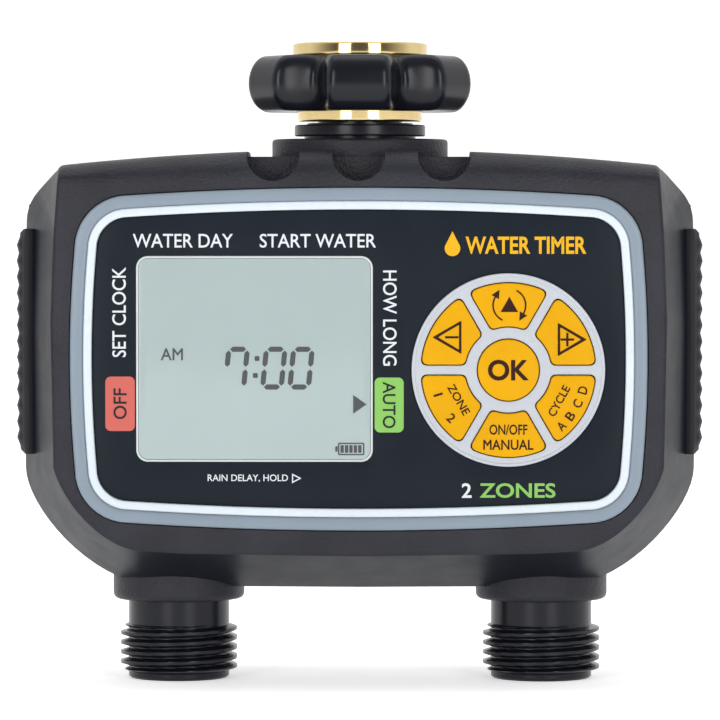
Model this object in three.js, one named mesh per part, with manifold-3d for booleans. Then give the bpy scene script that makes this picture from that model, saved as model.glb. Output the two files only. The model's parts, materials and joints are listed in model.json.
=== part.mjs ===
// Two-outlet digital hose water timer, in millimetres.
// +Z is up, the display faces -Y, and z = 0 is the plane of the two outlet rims,
// straight below the inlet axis (x = 0, y = 0).
import * as THREE from 'three';
import { mergeVertices } from 'three/addons/utils/BufferGeometryUtils.js';
import Module from 'manifold-3d';

const wasm = await Module();
wasm.setup();

// ---------------------------------------------------------------- driving sizes
const FRONT_Y = -33;          // flat of the front cover
const PART_Y = -8;            // end of the front cover at the housing seal
const SEAL_THICK = 1;
const REAR_Y = 33;            // flat of the rear cover
const SHELL_WALL = 2.4;
const POCKET_Y = -31;         // floor of the bezel pocket in the front cover
const FLOOR_BACK_Y = -29;     // inner face of the front wall
const REAR_INNER_Y = 28;      // inner face of the rear wall
const ROLL_R = 7.5;           // roll at the top of the front cover
const FIT = 0.3;              // clearance between neighbouring pieces

const PAD_Z = 119.8;          // seat of the inlet collar on the housing
const HUB_R = 12.8;           // inlet hub where it passes the housing
const COLLAR_R = 20.2;
const NUT_FLOOR_Z = 128;
const GRIP_Z = [130.3, 143];
const NUT_TOP_Z = 146;
const NUT_R = 14.35;

const OUTLET_X = 41.8;
const OUTLET_R = 11.6;
const OUTLET_BORE_R = 7.5;
const THREAD_R = 13.45;       // 3/4 inch garden hose thread, 26.9 mm over the crests
const THREAD_PITCH = 2.21;
const OUTLET_COLLAR_R = 15.1;
const OUTLET_COLLAR_Z = [18.3, 24.6];

const VALVE_R = 13;
const VALVE_Z = [29, 46];
const FEED_Z = 36;            // height of the side feed into the valve bodies
const FEED_R = 5.6;
const FEED_BORE_R = 3.8;

const KEYPAD = { x: 33.5, z: 72, r: 21.4 };
const OK_R = 6.85;
const KEY_RING_R = [9.8, 19.3];
const SPOKE_HALF = 1.3;
const KEY_GAP = 0.28;

const LCD = { x: [-49.5, 2.9], z: [51.7, 97.2], corner: 2.4 };

const CELL_R = 7.25;          // AA cell
const CELL_LENGTH = 50.5;
const CELL_PITCH = 15;
const CELL_Y = 21;
const CELL_Z = 43;
const TRAY = { x: 32, y: [12.8, 31], z: [40.2, 96.4], wall: 1.2 };

const SCREW_PLACES = [[-62, 60], [62, 60], [-59, 103], [59, 103]];

// ---------------------------------------------------------------- materials
const finish = (color, roughness, metalness = 0) =>
  new THREE.MeshStandardMaterial({ color, roughness, metalness });
const HOUSING = finish('#33353d', 0.55);
const GRIP_RUBBER = finish('#2a2a30', 0.8);
const BLACK_PLASTIC = finish('#1b1c20', 0.4);
const BEZEL_GREY = finish('#8e97a5', 0.4);
const BEZEL_LIGHT = finish('#d8dde2', 0.35);
const PANEL = finish('#2d363f', 0.5);
const LCD_GREEN = finish('#b5c4c4', 0.2);
const KEY_YELLOW = finish('#ecb503', 0.5);
const KEYPAD_PALE = finish('#d7dce8', 0.35);
const BRASS = finish('#c9a860', 0.25, 1);
const STEEL = finish('#b9bcc0', 0.35, 1);
const RUBBER = finish('#18181a', 0.9);
const BOARD = finish('#1f5a35', 0.6);
const NYLON = finish('#dcd9cf', 0.5);
const COPPER = finish('#b06a3a', 0.35, 1);
const CELL_SLEEVE = finish('#30343a', 0.4);

// ---------------------------------------------------------------- solid helpers
const group = new THREE.Group();

function toSolid(geometry) {
  geometry.deleteAttribute('normal');
  geometry.deleteAttribute('uv');
  const merged = mergeVertices(geometry, 1e-4);
  return new wasm.Manifold(new wasm.Mesh({
    numProp: 3,
    vertProperties: new Float32Array(merged.attributes.position.array),
    triVerts: new Uint32Array(merged.index.array),
  }));
}

function toGeometry(solid) {
  const mesh = solid.getMesh();
  const geometry = new THREE.BufferGeometry();
  geometry.setAttribute('position', new THREE.BufferAttribute(mesh.vertProperties, 3));
  geometry.setIndex(new THREE.BufferAttribute(mesh.triVerts, 1));
  return geometry;
}

function place(name, shape, material, parent = group) {
  const geometry = shape.getMesh ? toGeometry(shape) : shape;
  const mesh = new THREE.Mesh(geometry, material);
  mesh.name = name;
  parent.add(mesh);
  return mesh;
}

const cutAll = (solid, cutters) => cutters.reduce((left, cutter) => left.subtract(cutter), solid);
const joinAll = (solids) => solids.reduce((sum, solid) => sum.add(solid));

function boxSolid([x0, x1], [y0, y1], [z0, z1]) {
  const geometry = new THREE.BoxGeometry(x1 - x0, y1 - y0, z1 - z0);
  geometry.translate((x0 + x1) / 2, (y0 + y1) / 2, (z0 + z1) / 2);
  return toSolid(geometry);
}

// A round rod along an axis: 'x', 'y' or 'z', from one end to the other.
function rod(axis, [a, b], radius, [u, v], sides = 20) {
  const geometry = new THREE.CylinderGeometry(radius, radius, b - a, sides);
  const middle = (a + b) / 2;
  if (axis === 'x') geometry.rotateZ(Math.PI / 2).translate(middle, u, v);
  if (axis === 'y') geometry.translate(u, middle, v);
  if (axis === 'z') geometry.rotateX(Math.PI / 2).translate(u, v, middle);
  return toSolid(geometry);
}

// A turned piece about a vertical axis, from [radius, z] points listed anticlockwise.
function turned(points, [x, y] = [0, 0], sides = 24) {
  const profile = points.map(([radius, z]) => new THREE.Vector2(radius, z));
  const onAxis = points[0][0] === 0 && points.at(-1)[0] === 0;
  if (!onAxis) profile.push(profile[0].clone());
  const geometry = new THREE.LatheGeometry(profile, sides);
  geometry.rotateX(Math.PI / 2).translate(x, y, 0);
  return toSolid(geometry);
}

// A flat outline in X and Z, given depth from yFront to yBack.
function slab(outline, [yFront, yBack], holes = []) {
  const shape = new THREE.Shape(outline);
  shape.holes = holes.map((hole) => new THREE.Path(hole));
  const geometry = new THREE.ExtrudeGeometry(shape, { depth: yBack - yFront, bevelEnabled: false });
  geometry.rotateX(Math.PI / 2).translate(0, yBack, 0);
  return toSolid(geometry);
}

// A closed skin over rings of equal point counts, with a fan of faces across each end.
function loft(rings) {
  const count = rings[0].length;
  const positions = rings.flat().flatMap((point) => point.toArray());
  const index = [];
  for (let ring = 0; ring < rings.length - 1; ring++) {
    for (let i = 0; i < count; i++) {
      const a = ring * count + i;
      const b = ring * count + (i + 1) % count;
      index.push(a, b, b + count, a, b + count, a + count);
    }
  }
  const centres = [rings[0], rings.at(-1)].map((ring) =>
    ring.reduce((sum, point) => sum.add(point), new THREE.Vector3()).divideScalar(count));
  const [firstCentre, lastCentre] = [rings.length * count, rings.length * count + 1];
  const last = (rings.length - 1) * count;
  positions.push(...centres[0].toArray(), ...centres[1].toArray());
  for (let i = 0; i < count; i++) {
    const next = (i + 1) % count;
    index.push(firstCentre, next, i, lastCentre, last + i, last + next);
  }
  const geometry = new THREE.BufferGeometry();
  geometry.setAttribute('position', new THREE.Float32BufferAttribute(positions, 3));
  geometry.setIndex(index);
  const solid = toSolid(geometry);
  return solid.volume() > 0 ? solid : flipped(geometry);
}

function flipped(geometry) {
  const order = Array.from(geometry.index.array);
  for (let i = 0; i < order.length; i += 3) {
    [order[i], order[i + 1]] = [order[i + 1], order[i]];
  }
  geometry.setIndex(order);
  return toSolid(geometry);
}

// ---------------------------------------------------------------- outlines
const CORNER_STEPS = 5;

function bezier(points, steps = CORNER_STEPS) {
  const curve = new THREE.CubicBezierCurve(...points.map(([x, z]) => new THREE.Vector2(x, z)));
  return curve.getPoints(steps);
}

// The right half of an outline from top centre to bottom centre, mirrored to a whole one.
function mirrored(half) {
  const left = half.slice(1, -1).reverse().map((point) => new THREE.Vector2(-point.x, point.y));
  return [...half, ...left];
}

const TOP_STEPS = 4;
const topRow = (width, height) => Array.from({ length: TOP_STEPS + 1 }, (_, i) => {
  const x = width * i / TOP_STEPS;
  return new THREE.Vector2(x, height(x));
});

const TOP_CROWN_Z = 121.4;
const wideTop = (x) => TOP_CROWN_Z - x * x / 1300;
const at = (x, z) => new THREE.Vector2(x, z);

const WIDE = mirrored([
  ...topRow(68.4, wideTop),
  at(76.2, 109.3), at(76.8, 80),
  ...bezier([[76.6, 49], [76.6, 40], [62, 22.5], [47, 21.6]]),
  at(38, 21.5), at(0, 21.3),
]);
const FRONT = mirrored([
  ...topRow(67.3, () => 113.5),
  at(68.2, 100.8), at(68.85, 83),
  ...bezier([[68.2, 50], [66.4, 43], [58.5, 33], [49.7, 31.6]]),
  at(39.9, 31), at(0, 30.35),
]);
const REAR = mirrored([
  ...topRow(64.5, (x) => wideTop(x) - 4.4),
  at(71.6, 106.5), at(72.2, 80),
  ...bezier([[72, 50], [72, 42], [59, 27.5], [46, 26]]),
  at(38, 25.8), at(0, 25.6),
]);

const mix = (from, to, share) => from.map((point, i) => point.clone().lerp(to[i], share));
const shrink = (outline, wall) => outline.map((point) => {
  const centreZ = 71;
  return at(point.x * (1 - wall / 70), centreZ + (point.y - centreZ) * (1 - wall / 44));
});
const ringAt = (outline, y) => outline.map((point) => new THREE.Vector3(point.x, y, point.y));

// The front cover's outline at depth y: straight sides, and a roll along its top.
function frontOutline(y) {
  const share = (y - FRONT_Y) / (PART_Y - FRONT_Y);
  const depth = Math.min(y - FRONT_Y, ROLL_R);
  const lift = Math.sqrt(1 - (1 - depth / ROLL_R) ** 2);
  return FRONT.map((point, i) => {
    const mixed = point.clone().lerp(WIDE[i], share);
    if (point.y === FRONT[0].y) mixed.y = point.y + lift * (WIDE[i].y - point.y);
    return mixed;
  });
}

// The rear cover's outline at depth y: a straight taper, then a rounded edge.
const REAR_EDGE = 5;
function rearOutline(y) {
  const start = PART_Y + SEAL_THICK;
  const taper = mix(WIDE, REAR, (Math.min(y, REAR_Y - REAR_EDGE) - start) / (REAR_Y - start));
  const past = Math.max(0, y - (REAR_Y - REAR_EDGE)) / REAR_EDGE;
  return shrink(taper, REAR_EDGE * (1 - Math.sqrt(1 - past ** 2)));
}

function roundedRect([x0, x1], [z0, z1], radius, steps = 4) {
  const corners = [[x1 - radius, z1 - radius, 0], [x0 + radius, z1 - radius, 1],
    [x0 + radius, z0 + radius, 2], [x1 - radius, z0 + radius, 3]];
  return corners.flatMap(([cx, cz, quarter]) => Array.from({ length: steps + 1 }, (_, i) => {
    const angle = (quarter + i / steps) * Math.PI / 2;
    return at(cx + radius * Math.cos(angle), cz + radius * Math.sin(angle));
  }));
}

// The bezel outline: a rounded rectangle whose four sides bow outwards, moved in by inset.
const BEZEL = { halfWidth: 64.65, z: [36, 112.8], corner: 12, bowX: 1.1, bowZ: 1.7 };
function bezelOutline(inset, steps = 5) {
  const corner = BEZEL.corner - inset;
  const middle = (BEZEL.z[0] + BEZEL.z[1]) / 2;
  const halfHeight = (BEZEL.z[1] - BEZEL.z[0]) / 2 - inset;
  const halfWidth = BEZEL.halfWidth - inset;
  const flat = roundedRect([-halfWidth + BEZEL.bowX, halfWidth - BEZEL.bowX],
    [middle - halfHeight + BEZEL.bowZ, middle + halfHeight - BEZEL.bowZ], corner, steps);
  const bowed = [];
  const sideSteps = 6;
  flat.forEach((point, i) => {
    bowed.push(point);
    const next = flat[(i + 1) % flat.length];
    if (i % (steps + 1) !== steps) return;
    const alongX = Math.abs(next.x - point.x) > Math.abs(next.y - point.y);
    for (let k = 1; k < sideSteps; k++) {
      const share = k / sideSteps;
      const bow = 4 * share * (1 - share);
      const mid = point.clone().lerp(next, share);
      if (alongX) mid.y += Math.sign(mid.y - middle) * bow * BEZEL.bowZ;
      else mid.x += Math.sign(mid.x) * bow * BEZEL.bowX;
      bowed.push(mid);
    }
  });
  return bowed;
}

function circle(cx, cz, radius, sides = 36) {
  return Array.from({ length: sides }, (_, i) => {
    const angle = 2 * Math.PI * i / sides;
    return at(cx + radius * Math.cos(angle), cz + radius * Math.sin(angle));
  });
}

// One of the six keys around the OK key: a ring sector with parallel-sided gaps beside it.
function keySector(degrees, grow = 0) {
  const middle = THREE.MathUtils.degToRad(degrees);
  const half = Math.PI / 6;
  const [inner, outer] = [KEY_RING_R[0] - grow, KEY_RING_R[1] + grow];
  const trim = (radius) => half - Math.asin((SPOKE_HALF - grow) / radius);
  const arc = (radius, from, to, steps) => Array.from({ length: steps + 1 }, (_, i) => {
    const angle = middle + from + (to - from) * i / steps;
    return at(KEYPAD.x + radius * Math.cos(angle), KEYPAD.z + radius * Math.sin(angle));
  });
  return [...arc(outer, -trim(outer), trim(outer), 6), ...arc(inner, trim(inner), -trim(inner), 3)];
}

// ---------------------------------------------------------------- housing shells
const SCOOPS = [-19.2, 0, 19.2];
const SCOOP_R = 5.95;
const scoopCut = (grow) => SCOOPS.map((x) =>
  rod('y', [-40, -22 + grow], SCOOP_R + grow, [x, 120.2], 20));

const outletShafts = [-OUTLET_X, OUTLET_X].map((x) => rod('z', [10, 40], OUTLET_R + FIT, [x, 0]));
const outletSeats = [-OUTLET_X, OUTLET_X].map((x) =>
  rod('z', [10, OUTLET_COLLAR_Z[1] + 0.1], OUTLET_COLLAR_R + FIT, [x, 0]));
const outletPads = [-OUTLET_X, OUTLET_X].map((x) =>
  rod('z', [10, OUTLET_COLLAR_Z[1] + 2.6], OUTLET_COLLAR_R + 2, [x, 0]));
const collarPad = boxSolid([-25.1, 25.1], [-24, 24], [PAD_Z, 130]);
const collarPadWall = boxSolid([-27.5, 27.5], [-26.5, 26.5], [PAD_Z - 2.4, 130]);
const hubHole = rod('z', [100, 130], HUB_R + FIT, [0, 0], 24);

// Side grips: their plan follows the sides of the shell and stands 1.5 mm proud.
const GRIP_PLAN = [[73.4, -16], [76.1, -16.6], [78.3, -11.5], [78.3, 1], [76.8, 6.8], [74.6, 6.4], [76, -8]];
function gripSolid(side, grow = 0) {
  const bottom = 52.3 - grow;
  const height = 51.2 + 2 * grow;
  const shape = new THREE.Shape(GRIP_PLAN.map(([x, y]) => {
    const spreadY = y + Math.sign(y + 5) * grow;
    return at(side * (x < 76.05 ? x - grow : x + grow), spreadY);
  }));
  const geometry = new THREE.ExtrudeGeometry(shape, { depth: height, bevelEnabled: false });
  return toSolid(geometry.translate(0, 0, bottom));
}
const gripPockets = [-1, 1].map((side) => gripSolid(side, 0.2));

const BOSS_R = 3.6;
function frontCover() {
  const rollYs = [FRONT_Y, FRONT_Y + 0.6, FRONT_Y + 2.2, FRONT_Y + 4.6, FRONT_Y + ROLL_R, PART_Y];
  const outside = loft(rollYs.map((y) => ringAt(frontOutline(y), y)));
  const inner = [FLOOR_BACK_Y, FRONT_Y + ROLL_R, PART_Y + 1].map((y) =>
    ringAt(shrink(frontOutline(Math.min(y, PART_Y)), SHELL_WALL + 0.3), y));
  const cavity = cutAll(loft(inner), [...scoopCut(2), ...outletPads, collarPadWall]);
  const bosses = SCREW_PLACES.map(([x, z]) => rod('y', [FLOOR_BACK_Y - 1, PART_Y], BOSS_R, [x, z], 16));
  const pilots = SCREW_PLACES.map(([x, z]) => rod('y', [-17, 0], 1.5 + FIT / 3, [x, z], 12));
  const pocket = slab(bezelOutline(-0.2), [FRONT_Y - 5, POCKET_Y]);
  const lcdHole = slab(roundedRect([LCD.x[0] + 1.2, LCD.x[1] - 1.2],
    [LCD.z[0] + 1.2, LCD.z[1] - 1.2], 1.5), [FRONT_Y, FLOOR_BACK_Y + 2]);
  const keypadHole = slab(circle(KEYPAD.x, KEYPAD.z, KEY_RING_R[1] + 0.9), [FRONT_Y, FLOOR_BACK_Y + 2]);
  const shell = joinAll([outside.subtract(cavity), ...bosses]);
  return cutAll(shell, [pocket, lcdHole, keypadHole, collarPad, hubHole, ...scoopCut(0),
    ...outletSeats, ...outletShafts, ...gripPockets, ...pilots]);
}

function rearCover() {
  const start = PART_Y + SEAL_THICK;
  const ys = [start, REAR_Y - REAR_EDGE, REAR_Y - 3, REAR_Y - 1.2, REAR_Y];
  const outside = loft(ys.map((y) => ringAt(rearOutline(Math.min(y, REAR_Y - 0.2)), y)));
  const inner = [start - 1, REAR_INNER_Y].map((y) =>
    ringAt(shrink(rearOutline(Math.max(y, start)), SHELL_WALL), y));
  const cavity = cutAll(loft(inner), [...outletPads, collarPadWall]);
  const bosses = SCREW_PLACES.map(([x, z]) => rod('y', [start, REAR_INNER_Y + 1], 5, [x, z], 20));
  const counterbores = SCREW_PLACES.map(([x, z]) => rod('y', [-1, REAR_Y + 5], 3.8, [x, z], 20));
  const screwHoles = SCREW_PLACES.map(([x, z]) => rod('y', [-10, 5], 1.5 + FIT, [x, z], 12));
  const trayHole = boxSolid([-TRAY.x - FIT, TRAY.x + FIT], [20, 40], [TRAY.z[0] - FIT, TRAY.z[1] + FIT]);
  const sealGroove = boxSolid([-34.7, 34.7], [30, 40], [37.5, 99.1]);
  const lidRecess = boxSolid([-36.3, 36.3], [30.7, 40], [35.7, 100.9]);
  const shell = joinAll([outside.subtract(cavity), ...bosses]);
  return cutAll(shell, [trayHole, sealGroove, lidRecess, collarPad, hubHole,
    ...outletSeats, ...outletShafts, ...gripPockets, ...counterbores, ...screwHoles]);
}

// The housing seal: the inlet hub and the two outlets part it into three stretches.
function housingSeal() {
  const outer = loft([PART_Y, PART_Y + SEAL_THICK].map((y) => ringAt(shrink(WIDE, 0.5), y)));
  const inner = loft([PART_Y - 1, PART_Y + 2].map((y) => ringAt(shrink(WIDE, SHELL_WALL), y)));
  return cutAll(outer, [inner.subtract(collarPadWall), collarPad, hubHole, ...gripPockets,
    ...outletSeats, ...outletShafts]);
}

place('front_cover', frontCover(), HOUSING);
place('rear_cover', rearCover(), HOUSING);
const seal = housingSeal();
const bottomStretch = boxSolid([-OUTLET_X, OUTLET_X], [-20, 20], [15, 40]);
place('seal_bottom', seal.intersect(bottomStretch), RUBBER);
place('seal_left', seal.intersect(boxSolid([-90, 0], [-20, 20], [0, 130])).subtract(bottomStretch), RUBBER);
place('seal_right', seal.intersect(boxSolid([0, 90], [-20, 20], [0, 130])).subtract(bottomStretch), RUBBER);
place('grip_left', gripSolid(-1), GRIP_RUBBER);
place('grip_right', gripSolid(1), GRIP_RUBBER);

SCREW_PLACES.forEach(([x, z], i) => {
  const head = rod('y', [-0.9, 1.6], 3.2, [x, z], 16);
  const shank = rod('y', [-16, -0.9], 1.5, [x, z], 10);
  place(`housing_screw_${i + 1}`, head.add(shank), STEEL);
});

// ---------------------------------------------------------------- front panel
const BEZEL_WIDTH = 2.95;
const TRIM_WIDTH = 1.95;
const panelInset = BEZEL_WIDTH + TRIM_WIDTH + 0.1;
place('bezel_ring', slab(bezelOutline(0), [FRONT_Y - 1, POCKET_Y], [bezelOutline(BEZEL_WIDTH)]), BEZEL_GREY);
place('bezel_trim', slab(bezelOutline(BEZEL_WIDTH), [FRONT_Y - 0.4, POCKET_Y],
  [bezelOutline(BEZEL_WIDTH + TRIM_WIDTH)]), BEZEL_LIGHT);
place('face_panel', slab(bezelOutline(panelInset), [POCKET_Y - 1.4, POCKET_Y], [
  roundedRect([LCD.x[0] - 0.1, LCD.x[1] + 0.1], [LCD.z[0] - 0.1, LCD.z[1] + 0.1], LCD.corner),
  circle(KEYPAD.x, KEYPAD.z, KEYPAD.r + 0.2),
]), PANEL);
place('lcd_window', slab(roundedRect(LCD.x, LCD.z, LCD.corner), [POCKET_Y - 1.6, POCKET_Y]), LCD_GREEN);
place('lcd_module', boxSolid([LCD.x[0] + 1.7, LCD.x[1] - 1.7], [POCKET_Y + 0.1, -27.2],
  [LCD.z[0] + 1.7, LCD.z[1] - 1.7]), STEEL);

const KEYS = [
  ['key_up', 90], ['key_plus', 30], ['key_minus', 150],
  ['key_zone', 210], ['key_manual', 270], ['key_cycle', 330],
];
const KEY_Y = [FRONT_Y - 0.7, -30];
place('keypad_plate', slab(circle(KEYPAD.x, KEYPAD.z, KEYPAD.r), [FRONT_Y - 0.2, POCKET_Y], [
  circle(KEYPAD.x, KEYPAD.z, OK_R + KEY_GAP, 28),
  ...KEYS.map(([, degrees]) => keySector(degrees, KEY_GAP)),
]), KEYPAD_PALE);
place('key_ok', slab(circle(KEYPAD.x, KEYPAD.z, OK_R, 28), KEY_Y), KEY_YELLOW);
KEYS.forEach(([name, degrees]) => place(name, slab(keySector(degrees), KEY_Y), KEY_YELLOW));
place('keypad_membrane', slab(circle(KEYPAD.x, KEYPAD.z, 22.5), [-28.9, -27.9]), RUBBER);

place('circuit_board', boxSolid([-54, 54], [-26.6, -25], [42, 104]), BOARD);
place('microcontroller', boxSolid([-22, -8], [-25, -23.4], [62, 76]), BLACK_PLASTIC);

// ---------------------------------------------------------------- inlet
place('inlet_collar', turned([
  [HUB_R + FIT, PAD_Z], [COLLAR_R, PAD_Z], [COLLAR_R, 123.2], [COLLAR_R - 0.8, 124], [HUB_R + FIT, 124],
]), HOUSING);
place('inlet_neck', turned([
  [6.5, 106], [9, 106], [9, 113], [HUB_R, 113], [HUB_R, 124.7], [15.05, 124.7], [15.05, 127.3],
  [12.15, 127.3], [12.15, 127.7], [9.5, 127.7], [9.5, 130.8], [11.25, 130.8], [11.25, 132.3], [6.5, 132.3],
]), BLACK_PLASTIC);
place('neck_o_ring', turned([[9.3, 110.6], [11, 110.6], [11, 112.6], [9.3, 112.6]], [0, 0], 20), RUBBER);
place('inlet_filter', turned([
  [0, 132.4], [7.1, 132.4], [7.1, 133.3], [5, 133.3], [2, 134.8], [0, 134.8],
], [0, 0], 24), NYLON);

function nutProfile() {
  const thread = [141.5, 138.3, 135.1].flatMap((z) =>
    [[13.1, z + 1.6], [12.5, z + 1.1], [12.5, z + 0.5], [13.1, z]]);
  return [
    [9.9, NUT_FLOOR_Z], [NUT_R - 0.6, NUT_FLOOR_Z], [NUT_R, NUT_FLOOR_Z + 0.6], [NUT_R, GRIP_Z[1] + 0.1],
    [15.2, GRIP_Z[1] + 0.1], [15.55, GRIP_Z[1] + 0.6], [15.55, NUT_TOP_Z - 0.5], [15.1, NUT_TOP_Z],
    [13.1, NUT_TOP_Z], ...thread,
    [13.1, 130.3], [9.9, 130.3],
  ];
}
place('swivel_nut', turned(nutProfile()), BRASS);
place('hose_washer', turned([[7.5, 132.6], [12.2, 132.6], [12.2, 134.2], [7.5, 134.2]]), RUBBER);

// The grip's plan: six lobes with flat ends, one of them facing the front.
const LOBE_FLAT = 25.9;
const LOBE_STEPS = 48;
const VALLEY_R = 19.8;
function lobedOutline(grow) {
  return Array.from({ length: LOBE_STEPS }, (_, i) => {
    const degrees = 360 * i / LOBE_STEPS;
    const off = Math.abs((degrees + 30) % 60 - 30);
    const share = THREE.MathUtils.smoothstep(off, 12, 29);
    const end = LOBE_FLAT / Math.cos(THREE.MathUtils.degToRad(Math.min(off, 15)));
    const radius = THREE.MathUtils.lerp(end, VALLEY_R, share) + grow;
    const angle = THREE.MathUtils.degToRad(degrees);
    return at(radius * Math.sin(angle), radius * Math.cos(angle));
  });
}
function nutGrip() {
  const layers = [[0, -3.2], [1.6, -1.2], [4.4, 0], [8.3, 0], [11.1, -1.2], [12.7, -3.2]];
  const rings = layers.map(([rise, grow]) =>
    lobedOutline(grow).map((point) => new THREE.Vector3(point.x, rise, -point.y)));
  const body = loft(rings).rotate([90, 0, 0]).translate([0, 0, GRIP_Z[0]]);
  return body.subtract(rod('z', [120, 150], NUT_R + 0.2, [0, 0], 24));
}
place('nut_grip', nutGrip(), BLACK_PLASTIC);

// ---------------------------------------------------------------- outlets and valves
function outletProfile() {
  const crests = [];
  for (let z = 2.2; z < 12; z += THREAD_PITCH) {
    crests.push([OUTLET_R, z - 0.55], [THREAD_R, z - 0.1], [THREAD_R, z + 0.35], [OUTLET_R, z + 0.8]);
  }
  return [[OUTLET_BORE_R, 0], [OUTLET_R - 0.6, 0], [OUTLET_R, 0.6], ...crests,
    [OUTLET_R, VALVE_Z[0] - 0.1], [OUTLET_BORE_R, VALVE_Z[0] - 0.1]];
}

const VALVE_PROFILE = [
  [OUTLET_BORE_R, VALVE_Z[0]], [VALVE_R, VALVE_Z[0]], [VALVE_R, VALVE_Z[1]], [VALVE_R - 2, VALVE_Z[1]],
  [VALVE_R - 2, 31.4], [9.2, 31.4], [9.2, 45.6], [OUTLET_BORE_R, 45.6],
];
const DIAPHRAGM_PROFILE = [
  [0, 46.1], [VALVE_R - 0.2, 46.1], [VALVE_R - 0.2, 47.3], [9, 47.3], [6, 48.3], [0, 48.3],
];
const BONNET_PROFILE = [
  [VALVE_R, 47.4], [VALVE_R, 50], [10, 53.5], [5.3, 53.5], [5.3, 74], [0, 74], [0, 72], [4.2, 72],
  [4.2, 51.5], [9.5, 51], [10.5, 47.4],
];

function outletSide(side, label) {
  const x = side * OUTLET_X;
  const feedEnds = [OUTLET_X - VALVE_R - 4, OUTLET_X - VALVE_R + 3];
  const feedHole = rod('x', side > 0 ? feedEnds : feedEnds.map((end) => -end).reverse(),
    FEED_BORE_R, [0, FEED_Z], 14);
  const innerSeat = rod('z', [VALVE_Z[0], 45.6], 9.2, [x, 0]);
  const innerBore = rod('z', [VALVE_Z[0] - 1, 47], OUTLET_BORE_R, [x, 0]);
  const cup = turned(VALVE_PROFILE, [x, 0]);
  const seat = innerSeat.subtract(innerBore);
  place(`outlet_${label}`, turned(outletProfile(), [x, 0], 20), BLACK_PLASTIC);
  place(`outlet_collar_${label}`, turned([
    [OUTLET_R + FIT, OUTLET_COLLAR_Z[0]], [OUTLET_COLLAR_R - 1.5, OUTLET_COLLAR_Z[0]],
    [OUTLET_COLLAR_R - 0.4, OUTLET_COLLAR_Z[0] + 0.4], [OUTLET_COLLAR_R, OUTLET_COLLAR_Z[0] + 1.5],
    [OUTLET_COLLAR_R, OUTLET_COLLAR_Z[1]], [OUTLET_R + FIT, OUTLET_COLLAR_Z[1]],
  ], [x, 0]), HOUSING);
  place(`valve_body_${label}`, cup.subtract(feedHole).add(seat), NYLON);
  place(`diaphragm_${label}`, turned(DIAPHRAGM_PROFILE, [x, 0], 24), RUBBER);
  place(`bonnet_${label}`, turned(BONNET_PROFILE, [x, 0], 24), NYLON);
  place(`plunger_${label}`, rod('z', [52, 65], 3.8, [x, 0], 16), STEEL);
  place(`coil_${label}`, turned([[5.6, 54], [11.5, 54], [11.5, 72], [5.6, 72]], [x, 0], 24), COPPER);
  place(`plunger_spring_${label}`, springGeometry(x), STEEL);
}

// A compression spring between the plunger and the end of its tube.
class SpringCurve extends THREE.Curve {
  constructor(x) {
    super();
    this.x = x;
  }

  getPoint(t) {
    const turns = 3;
    const radius = 2.6;
    const angle = 2 * Math.PI * turns * t;
    return new THREE.Vector3(this.x + radius * Math.cos(angle), radius * Math.sin(angle), 65.6 + 5.8 * t);
  }
}
function springGeometry(x) {
  const wire = new THREE.Shape(circle(0, 0, 0.3, 5));
  return new THREE.ExtrudeGeometry(wire, { steps: 27, extrudePath: new SpringCurve(x), bevelEnabled: false });
}

outletSide(-1, 'left');
outletSide(1, 'right');

// The manifold brings water from the inlet neck down to both valve bodies.
function pipes(radius, grow) {
  const legX = 20;
  const legTop = 99;
  const legR = radius + 0.7;
  const reach = 28.4 + grow;
  const across = rod('x', [-legX, legX], radius, [0, legTop], 14);
  const riser = rod('z', [legTop, 105.9 + grow], radius + 1.2, [0, 0], 16);
  const legs = [-1, 1].flatMap((side) => [
    rod('z', [FEED_Z - radius - 1, legTop + radius + 0.9], legR, [side * legX, 0], 16),
    rod('x', side > 0 ? [legX, reach] : [-reach, -legX], radius, [0, FEED_Z], 14),
  ]);
  return joinAll([across, riser, ...legs]);
}
place('manifold', pipes(FEED_R, 0).subtract(pipes(FEED_BORE_R, 2)), NYLON);

// ---------------------------------------------------------------- battery tray
function batteryBay() {
  const inside = { x: TRAY.x + FIT, z: [TRAY.z[0] - FIT, TRAY.z[1] + FIT] };
  const outside = boxSolid([-inside.x - 1.6, inside.x + 1.6], [11.2, REAR_INNER_Y - 0.05],
    [inside.z[0] - 1.6, inside.z[1] + 1.6]);
  return outside.subtract(boxSolid([-inside.x, inside.x], [12.5, 40], inside.z));
}
function batteryTray() {
  const frame = boxSolid([-TRAY.x, TRAY.x], TRAY.y, TRAY.z);
  const lid = boxSolid([-36, 36], [31, 34], [36, 100.6]);
  const cells = boxSolid([-TRAY.x + TRAY.wall, TRAY.x - TRAY.wall], [TRAY.y[0] - 1, 29.4],
    [TRAY.z[0] + TRAY.wall, TRAY.z[1] - TRAY.wall]);
  const fingerPull = boxSolid([-9, 9], [32.6, 40], [36 - 1, 42]);
  return frame.add(lid).subtract(cells).subtract(fingerPull);
}
place('battery_bay', batteryBay(), BLACK_PLASTIC);
place('battery_tray', batteryTray(), BLACK_PLASTIC);
place('tray_seal', boxSolid([-34.4, 34.4], [30.1, 31], [37.8, 98.8]).subtract(
  boxSolid([-TRAY.x - 0.1, TRAY.x + 0.1], [20, 40], [TRAY.z[0] - 0.1, TRAY.z[1] + 0.1])), RUBBER);
place('contact_top', boxSolid([-29, 29], [16, 26], [94.2, 95]), STEEL);
place('contact_bottom', boxSolid([-29, 29], [16, 26], [41.6, 42.4]), STEEL);
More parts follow.
